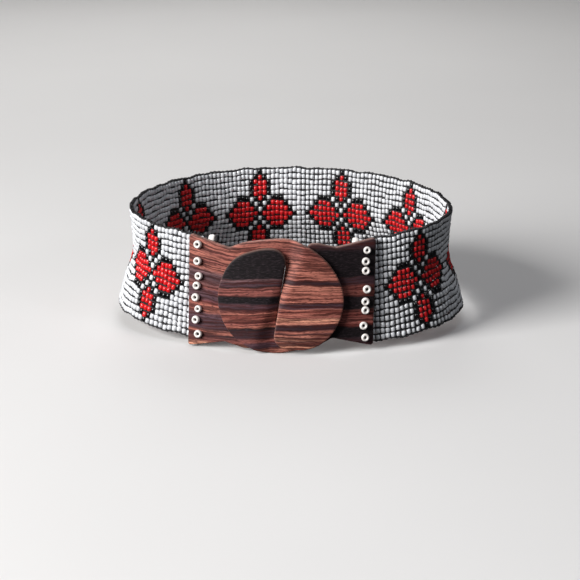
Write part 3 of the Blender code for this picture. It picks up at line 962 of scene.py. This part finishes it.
# %% The finish of a wooden half
def rosewood(name, hook_bands, plate_bands, hook_side, fan, arch, tilt):
    """Waxed rosewood. Its bands change between the plate and the hook, across the slit.

    fan spreads the grain over the plate, arch bends it over the hook and tilt slants it on
    the left; 0 is none. hook_side is 1 where the hook is on the right, or else -1.
    """
    material, tree, shader = start_material(name)
    flat = node(tree, "UVMap", uv_map="flat")
    place = node(tree, "SeparateXYZ", {"Vector": flat.outputs[0]})
    x, z = place.outputs[0], place.outputs[1]
    # from 30 mm out to the plate's end at 63 mm the grain rises, most in the upper half
    past_neck = remap(tree, x, -0.30 * hook_side, -0.63 * hook_side, 0.0, 0.33 * fan)
    upward = remap(tree, z, -0.2, 0.3, 0.1, 1.0)
    spread = reckon(tree, "SUBTRACT", z, reckon(tree, "MULTIPLY", past_neck, upward))
    # above 2 mm it sinks with the square of the way from the middle, up to 36 mm away
    sunk = reckon(tree, "MINIMUM", reckon(tree, "MULTIPLY", x, x), 0.13)
    high = remap(tree, z, 0.02, 0.3, 0.0, arch)
    arched = reckon(tree, "MULTIPLY_ADD", sunk, high, spread)
    leftward = reckon(tree, "MINIMUM", x, 0.0)
    level = reckon(tree, "MULTIPLY_ADD", leftward, -tilt, arched)
    # slow waves of the grain, 38 mm long and 12 mm apart, push it by 1 mm or so; quick
    # ones, 7 mm long and 3 mm apart, make the lines tremble by 0.4 mm or so
    along = node(tree, "CombineXYZ", {"X": x, "Y": level}).outputs[0]
    slow = streaks(tree, along, (2.6, 8.0), 1.0)
    quick = streaks(tree, along, (14.0, 30.0), 3.0)
    push = reckon(tree, "MULTIPLY_ADD", slow, 0.036, -0.018)
    fray = reckon(tree, "MULTIPLY_ADD", quick, 0.018, push)
    height = reckon(tree, "ADD", level, fray)
    # the ramp reads 80 mm, and starts 0.9 mm higher because the quick waves only push up
    share = remap(tree, height, -0.391, 0.409, 0.0, 1.0)
    hook = fill_ramp(tree, share, hook_bands)
    plate = fill_ramp(tree, share, plate_bands)
    past_slit = remap(tree, x, -0.12 * hook_side, -0.02 * hook_side, 0.0, 1.0)
    board = blend(tree, past_slit, plate, hook)
    # dark red lines 1.4 mm apart and 40 mm long follow the same waves
    grain = node(tree, "CombineXYZ", {"X": x, "Y": height}).outputs[0]
    lines_noise = streaks(tree, grain, (2.5, 70.0), 2.0)
    line = remap(tree, lines_noise, 0.47, 0.56, 0.0, 0.82)
    lined = blend(tree, line, board, hex_colour("#401A18"), blend_type="DARKEN")
    # finer lines, 0.6 mm apart and 20 mm long, are paler and darker than the board
    fine_noise = streaks(tree, grain, (5.0, 170.0), 3.0, 0.6)
    fine = remap(tree, fine_noise, 0.36, 0.64, 0.54, 1.5)
    toned = node(tree, "VectorMath", {0: lined, 3: fine}, operation="SCALE").outputs[0]
    # open pores, dashes 0.3 mm wide and 3 mm long: dark on red wood, dusty on black wood
    pore = remap(tree, streaks(tree, grain, (30.0, 300.0), 1.0), 0.57, 0.66, 0.0, 0.75)
    bright = node(tree, "RGBToBW", {"Color": board}).outputs[0]
    redness = remap(tree, bright, 0.01, 0.06, 0.0, 1.0)
    filling = blend(tree, redness, hex_colour("#382D32"), hex_colour("#2A1415"))
    pitted = blend(tree, pore, toned, filling)
    # painted highlight: the rounded rims are mixed half way to paler wood, for the thin line of
    # light that they catch
    rim = node(tree, "Attribute", attribute_name="rim").outputs[2]
    rim_highlight_share = reckon(tree, "MULTIPLY", rim, 0.5)
    rim_highlighted = blend(tree, rim_highlight_share, pitted, hex_colour("#A8857A"))
    tree.links.new(rim_highlighted, shader.inputs["Base Color"])
    gloss = remap(tree, fine_noise, 0.3, 0.7, 0.6, 0.45)
    tree.links.new(gloss, shader.inputs["Roughness"])
    relief = reckon(tree, "MULTIPLY_ADD", pore, -1.0, fine)
    bump = node(tree, "Bump", {"Strength": 0.4, "Distance": 0.12 * MM, "Height": relief})
    tree.links.new(bump.outputs[0], shader.inputs["Normal"])
    shader.inputs["IOR"].default_value = 1.5
    # thin old wax over open pores mirrors less than a closed film would
    shader.inputs["Specular IOR Level"].default_value = 0.14
    return material


# %% Finish both halves
light_wood = rosewood("waxed_rosewood_reddish", LEFT_HOOK_BANDS, LEFT_PLATE_BANDS, 1,
                      fan=0.25, arch=0.3, tilt=0.0)
dark_wood = rosewood("waxed_rosewood_blackish", RIGHT_HOOK_BANDS, RIGHT_PLATE_BANDS, -1,
                     fan=0.0, arch=0.0, tilt=0.05)
dress(buckle_left, light_wood)
dress(buckle_right, dark_wood)

# %% [markdown]
# ### Opaque glass
# Seed beads are opaque soda glass, so they have a hard, sharp gloss over an even colour.
# A batch of beads is never quite one colour: each bead carries its own number, and the
# number moves its colour a little between two shades.

# %% Build the glass
def opaque_glass(name, one, other, roughness):
    """Opaque bead glass between two shades, by the bead's own number."""
    material, tree, shader = start_material(name)
    own = node(tree, "Attribute", attribute_name="shade").outputs[2]
    colour = blend(tree, own, hex_colour(one), hex_colour(other))
    tree.links.new(colour, shader.inputs["Base Color"])
    shader.inputs["Roughness"].default_value = roughness
    shader.inputs["IOR"].default_value = 1.52
    return material


white_glass = opaque_glass("opaque_white_glass", "#E8E9EB", "#D0D1D4", 0.2)
red_glass = opaque_glass("opaque_red_glass", "#E02A2C", "#C4141C", 0.22)
black_glass = opaque_glass("opaque_black_glass", "#0E0E11", "#070709", 0.18)
dress(bead_pieces["white_left"], white_glass)
dress(bead_pieces["white_right"], white_glass)
dress(bead_pieces["red"], red_glass)
dress(bead_pieces["black"], black_glass)

# %% [markdown]
# ### Black thread
# The cords are rubber covered in black cotton and the threads are waxed cotton. Both
# are dull. A fine noise, one fibre bundle to a quarter of a millimetre, breaks the light.

# %% Build the thread
thread, tree, shader = start_material("black_waxed_cotton")
place = node(tree, "TexCoord")
fibres = node(tree, "TexNoise", {"Vector": place.outputs["Object"], "Scale": 4000.0, "Detail": 2.0})
colour = blend(tree, fibres.outputs[0], hex_colour("#0B0A0C"), hex_colour("#221F22"))
tree.links.new(colour, shader.inputs["Base Color"])
bump = node(tree, "Bump", {"Strength": 0.5, "Distance": 0.1 * MM, "Height": fibres.outputs[0]})
tree.links.new(bump.outputs[0], shader.inputs["Normal"])
shader.inputs["Roughness"].default_value = 0.65
for piece in (elastic, wefts, edging, hole_knots, ends):
    dress(piece, thread)

# %% [markdown]
# ### Drilled beads
# These are larger pressed beads, white with a warm cast, and slightly uneven. A slow
# noise with waves of about 2 mm moves the colour and the gloss a little.

# %% Build the drilled beads' finish
pressed, tree, shader = start_material("pressed_white_glass")
place = node(tree, "TexCoord")
clouds = node(tree, "TexNoise", {"Vector": place.outputs["Object"], "Scale": 500.0, "Detail": 2.0})
colour = blend(tree, clouds.outputs[0], hex_colour("#F6F2EE"), hex_colour("#E2D9D2"))
tree.links.new(colour, shader.inputs["Base Color"])
gloss = remap(tree, clouds.outputs[0], 0.3, 0.7, 0.2, 0.34)
tree.links.new(gloss, shader.inputs["Roughness"])
shader.inputs["IOR"].default_value = 1.52
for piece in white_pieces:
    dress(piece, pressed)

# %% [markdown]
# ## Studio
# The belt stands on a pale matt floor. A broad lamp in front and far to the left lights
# the belt's left side full on, and its right side falls into shade, where a small hard
# fill gives each bead a point of light. Two weak lamps, one above and one behind, show
# the upper rims of the wood and the inside of the band.

# %% Floor
FLOOR_GAP = 0.2 * MM
bpy.ops.mesh.primitive_plane_add(size=8.0, location=(0, 0, cad_low.z - FLOOR_GAP))
floor = bpy.context.object
floor.name = "studio_floor"
floor_paint, tree, shader = start_material("pale_matt_paint")
place = node(tree, "TexCoord")
mottle = node(tree, "TexNoise", {"Vector": place.outputs["Object"], "Scale": 3.0})
colour = blend(tree, mottle.outputs[0], hex_colour("#DEDCDA"), hex_colour("#E6E4E2"))
tree.links.new(colour, shader.inputs["Base Color"])
shader.inputs["Roughness"].default_value = 0.85
dress(floor, floor_paint)
# a worn belt hangs far above any floor, so this one throws no light up on it
floor.visible_diffuse = False
floor.visible_glossy = False


# %% Lamps
buckle_spot = Vector((0, -LOOP_DEPTH / 2, 0))


def lamp(name, place, size, power, colour):
    """A square lamp that looks at the buckle, with its place and side in m and power in W."""
    data = bpy.data.lights.new(name, "AREA")
    data.size = size
    data.energy = power
    data.color = hex_colour(colour)[:3]
    item = bpy.data.objects.new(name, data)
    item.location = place
    item.rotation_euler = (buckle_spot - Vector(place)).to_track_quat("-Z", "Y").to_euler()
    bpy.context.scene.collection.objects.link(item)
    print(name, "gives", power, "W")


lamp("key_lamp", (-1.65, -1.33, 1.0), 1.2, 90.0, "#FFFFFF")
lamp("top_lamp", (0.15, -0.45, 1.3), 0.5, 2.5, "#F2F6FF")
lamp("fill_lamp", (1.3, -0.9, 0.9), 0.2, 2.2, "#F2F6FF")
lamp("back_lamp", (-0.25, 1.3, 0.9), 0.8, 6.0, "#FFFFFF")

world = bpy.data.worlds.new("studio_air")
world.use_nodes = True
air = world.node_tree.nodes["Background"]
air.inputs["Color"].default_value = hex_colour("#E9E9EB")
air.inputs["Strength"].default_value = 0.07
bpy.context.scene.world = world
bpy.context.scene.view_settings.view_transform = "Standard"

# %% [markdown]
# ## Camera
# The photograph looks at the buckle from 1.2 m, 18 degrees above it and 4.4 degrees to
# the right, and 1.5 of its pixels cover a millimetre at the buckle's middle. The lens
# follows from that and from its width of 580 pixels.

# %% Camera
FRAME_PIXELS = 580
PIXELS_PER_MM = 1.5
BUCKLE_PIXEL = (282.4, 291.6)  # where the buckle's middle falls, from the top left
DISTANCE = 1.2
SENSOR = 36.0
azimuth, elevation = math.radians(4.4), math.radians(18.0)
to_camera = Vector((math.sin(azimuth) * math.cos(elevation),
                    -math.cos(azimuth) * math.cos(elevation), math.sin(elevation)))
right = Vector((math.cos(azimuth), math.sin(azimuth), 0))
up = to_camera.cross(right)
aside = right * (FRAME_PIXELS / 2 - BUCKLE_PIXEL[0]) + up * (BUCKLE_PIXEL[1] - FRAME_PIXELS / 2)
spot = buckle_spot + aside * MM / PIXELS_PER_MM + to_camera * DISTANCE
camera_data = bpy.data.cameras.new("camera")
camera_data.sensor_width = SENSOR
camera_data.lens = SENSOR * PIXELS_PER_MM * DISTANCE / MM / FRAME_PIXELS
camera = bpy.data.objects.new("camera", camera_data)
turn = Matrix((right, up, to_camera)).transposed().to_4x4()
camera.matrix_world = Matrix.Translation(spot) @ turn
bpy.context.scene.collection.objects.link(camera)
bpy.context.scene.camera = camera
print("lens", round(camera_data.lens, 1), "mm")
